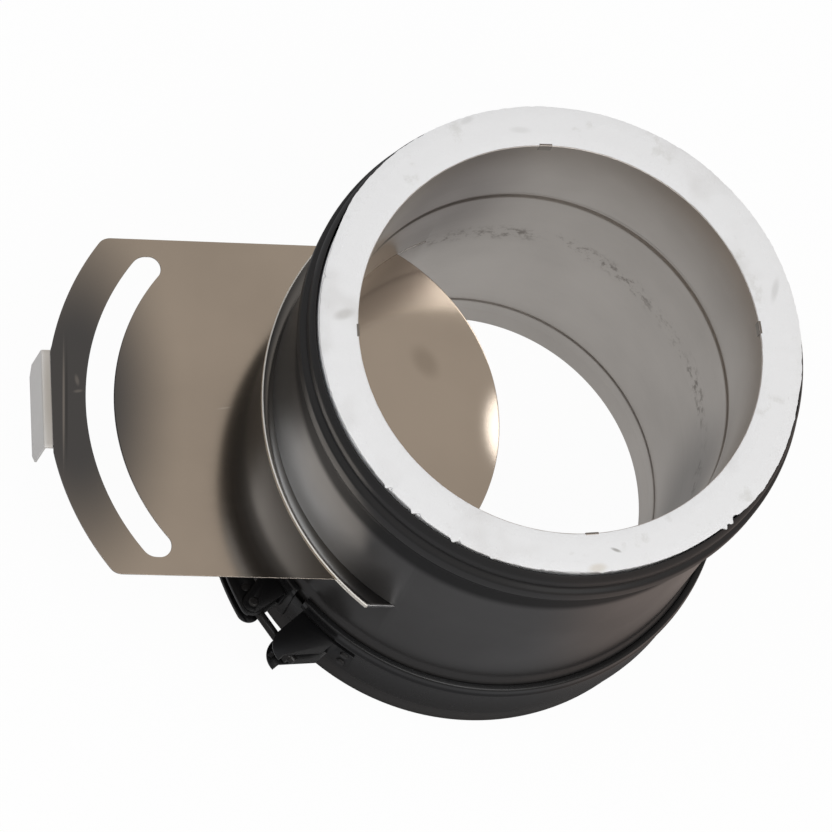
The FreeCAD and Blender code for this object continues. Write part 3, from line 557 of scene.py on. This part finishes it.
plate_half, end_middle, disc_middle = 110.0, -114.1, -131.0
end_radius, slot_outer, slot_inner, disc_radius = 176.5, 152.5, 135.0, 125.0
slot_half, straight_end, plate_head = 98.5, -287.6, 139.0
disc_edge = arc_at(np.linspace(-plate_half, plate_half, 90), disc_middle, disc_radius, side=1)
end_edge = arc_at(np.linspace(plate_half - 3.6, -plate_half + 3.6, 90), end_middle, end_radius)
end_edge[:, 1] = np.maximum(end_edge[:, 1], straight_end)
side_corner = arc_at(plate_half, end_middle, end_radius)
side_edge = np.linspace(disc_edge[-1], side_corner + (0, 5), 28)[1:-1]
side_bend = pulled(side_corner + (0, 5), side_corner, end_edge[0], 10)[:-1]
right_side = np.vstack([side_edge, side_bend])
plate_outline = np.vstack([disc_edge, right_side, end_edge, mirrored(right_side)])

inner_edge = arc_at(np.linspace(-85.5, 85.5, 90), end_middle, slot_inner)
outer_edge = arc_at(np.linspace(94.7, -94.7, 90), end_middle, slot_outer)
inner_corner, outer_corner = (arc_at(slot_half, end_middle, radius) for radius in (slot_inner, slot_outer))
along_end = (outer_corner - inner_corner) / np.linalg.norm(outer_corner - inner_corner)
inner_bend = pulled(inner_edge[-1], inner_corner, inner_corner + 17.5 * along_end, 18, pull=0.37)[1:]
outer_bend = pulled(outer_corner - 5 * along_end, outer_corner, outer_edge[0], 19)[:-1]
right_end = np.vstack([inner_bend, outer_bend])
slot_outline = np.vstack([inner_edge, right_end, outer_edge, mirrored(right_end)])

# The sheet is a grid between its outline and the slot's, with a narrow row along each edge.
share = np.concatenate([[0, 0.004], np.linspace(0.05, 0.95, 18), [0.996, 1]])[:, None, None]
plate_flat = plate_outline * (1 - share) + slot_outline * share
plate_points = np.concatenate([plate_flat, np.full(plate_flat.shape[:2] + (1,), plate_head)], -1)
# The plate's marks: the broad grey patch over the outer end is painted shade, a darker reflection painted
# onto the polished sheet; the light line with a dark one beside it, across the handle's lap, is a painted
# highlight and shade; the rest are a faint brownish patch, a thin pale streak and two weld spots.
plate_marks_and_painted_light = [
    ((-5, -274, 139), (150, 72, 20), 0, 1.0, (97, 97, 98)),
    ((-34.6, -51.5, 139), (16, 10, 20), 30, 0.35, (140, 128, 114)),
    ((0.2, -179.8, 139), (0.9, 7, 20), 10, 0.4, (215, 210, 202)),
    ((0, -280.4, 139), (52, 1.0, 20), -1.8, 0.5, (176, 170, 164)),
    ((0, -278.6, 139), (52, 1.2, 20), -1.8, 0.4, (60, 60, 60)),
    ((-15.1, -271.6, 139), (5, 1.8, 20), 10, 0.35, (170, 165, 160)),
    ((-7.9, -271.2, 139), (1.4, 4, 20), 10, 0.35, (170, 165, 160)),
]
plate_finish = brushed("plate_stainless", colour(200, 188, 174), 0.11, (900.0, 8.0, 8.0), marks=plate_marks_and_painted_light,
                       leans=[((8, -1, 139), (52, 29, 20), (0.265, -0.03, 0.0), 0.2),
                              ((0, -235, 139), (600, 150, 40), (-0.036, 0.023, 0.0), 0.0)])
plate = surface("plate", plate_points, closed=True)
finished(plate, plate_finish, wall=1.0, edge=0.12)
belongs(plate, "damper", "plate_steel", "damper_plate")


# --- Pull handle --------------------------------------------------------------------------------
# A strip of light grey sheet, spot-welded under the plate's arched end, carried a little past it and
# folded down. Its lower corners are cut off.
handle_finish = brushed("handle_steel", colour(240, 239, 237), 0.5, (12.0, 12.0, 500.0), metallic=0.5,
                        marks=[((-3, -289, 140), (90, 10, 5), 0, 1.0, (170, 164, 155))])
handle_path = rounded([(-281.0, 138.0), (-284.2, 138.0), (-287.4, 138.0), (-293.2, 138.0),
                       (-294.8, 112.0), (-295.2, 106.0)], 1.4, 7)
travel = np.concatenate([[0], np.cumsum(np.linalg.norm(np.diff(handle_path, axis=0), axis=1))])
handle_middle, lap_half, flap_half, cut_corner = -2.7, 42, 32, 6
half_width = np.interp(travel, [0, 3.2, 6.4, travel[-1] - cut_corner, travel[-1]],
                       [lap_half, lap_half, flap_half, flap_half, flap_half - cut_corner])
across = np.linspace(-1, 1, 24)[None, :]
handle_points = np.stack([handle_middle + half_width[:, None] * across, handle_path[:, :1] + 0 * across,
                          handle_path[:, 1:] + 0 * across], -1)
handle = surface("handle", handle_points)
finished(handle, handle_finish, wall=1.2, edge=0.2)
belongs(handle, "damper", "handle_steel", "pull_handle")


# --- Rim clips ----------------------------------------------------------------------------------
# Four strips of thin spring steel, folded over the liner's upper edge. They are pressed on by hand and
# grip the sheet between their two legs.
clip_path = rounded([(124.6, 269.0), (124.6, 275.1), (126.45, 275.1), (126.45, 269.0)], 0.6, 5)
clip_half, clip_turns = 4, [5, 95, 181, 270]
clip_across = np.linspace(-clip_half, clip_half, 6)
clips = []
for turn in np.radians(clip_turns):
    radial = np.array([math.cos(turn), math.sin(turn), 0])
    along = np.array([-math.sin(turn), math.cos(turn), 0])
    strip = clip_path[:, None, :1] * radial + clip_across[None, :, None] * along
    clips.append(strip + clip_path[:, None, 1:] * [0, 0, 1])
clip_keep = np.ones((len(clips) * len(clip_path) - 1, len(clip_across) - 1), bool)
clip_keep[len(clip_path) - 1::len(clip_path)] = False
clip = surface("clips", np.vstack(clips), clip_keep)
finished(clip, brushed("clip_steel", colour(150, 144, 138), 0.3, (60.0, 60.0, 500.0)), wall=0.4)
belongs(clip, "pipe", "liner_steel", "rim_clips")


# --- Locking band -------------------------------------------------------------------------------
# A rolled channel in gloss black round the socket, with a small crown. It is split at the latch, where
# a tongue riveted inside bridges the gap.
band_finish = enamel("band_enamel", colour(22, 22, 23), 0.26, rub=0.15, sheen=0.3)
latch_turn = math.radians(-49.9)
band_radius, lip_radius, split = 157.0, 153.1, 8.0
band_profile = rounded([(lip_radius, 70), (band_radius, 70), (band_radius, 63.7), (158.2, 60.5),
                        (band_radius, 57.3), (band_radius, 24), (lip_radius, 24)], 1.4, 6)
band_angles = latch_turn + np.linspace(0, 2 * math.pi - split / band_radius, 280)
band = surface("band", turned(band_profile, band_angles))
finished(band, band_finish, wall=1.0, edge=0.2)
belongs(band, "pipe", "band_black", "locking_band")

tongue_half = 24.0
tongue_turn = math.asin(tongue_half / band_radius)
tongue_profile = np.array([(155.97, 62), (155.97, 28)])
tongue_angles = latch_turn + np.linspace(-tongue_turn, tongue_turn, 24)
tongue = surface("band_tongue_strip", turned(tongue_profile, tongue_angles))
finished(tongue, band_finish, wall=0.8, edge=0.1)
belongs(tongue, "pipe", "band_black", "band_tongue")


# --- Latch --------------------------------------------------------------------------------------
# Pressed brackets, a channel lever, rivets, a barrel and a bolt with a washer and a nut. All are
# blackened, and a little rubbed.
def eased_copy(name, node, finish, edge, sharp=32):
    """A copy of a solid with its doubled points merged, its flat faces whole and its edges eased."""
    made = bpy.data.objects.new(name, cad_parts[node].data.copy())
    bpy.context.scene.collection.objects.link(made)
    work = bmesh.new()
    work.from_mesh(made.data)
    bmesh.ops.remove_doubles(work, verts=work.verts, dist=2e-6)
    bmesh.ops.dissolve_limit(work, angle_limit=math.radians(1), verts=work.verts, edges=work.edges)
    work.to_mesh(made.data)
    work.free()
    return finished(made, finish, edge=edge, sharp=sharp)


latch_finish = enamel("latch_enamel", colour(17, 17, 18), 0.3, rub=0.15, sheen=0.2)
fastener_finish = enamel("fastener_black", colour(28, 27, 27), 0.3, rub=0.3, sheen=0.3)
for name, node, body, slot, finish, edge in (
    ("bracket", "lever_bracket", "pipe", "latch_black", latch_finish, 0.3),
    ("saddle", "saddle_bracket", "pipe", "latch_black", latch_finish, 0.3),
    ("strap_rivets", "bracket_rivets", "pipe", "fastener_black", fastener_finish, 0.2),
    ("lever", "latch_lever", "lever", "latch_black", latch_finish, 0.3),
    ("pivot_rivets", "lever_rivets", "pipe", "fastener_black", fastener_finish, 0.2),
    ("barrel", "swivel_barrel", "bolt", "fastener_black", fastener_finish, 0.3),
    ("bolt", "tension_bolt", "bolt", "fastener_black", fastener_finish, 0.3),
    ("washer", "nut_washer", "nut", "fastener_black", fastener_finish, 0.15),
    ("nut", "lock_nut", "nut", "fastener_black", fastener_finish, 0.3),
):
    made = eased_copy(name, node, finish, edge)
    belongs(made, body, slot, node)
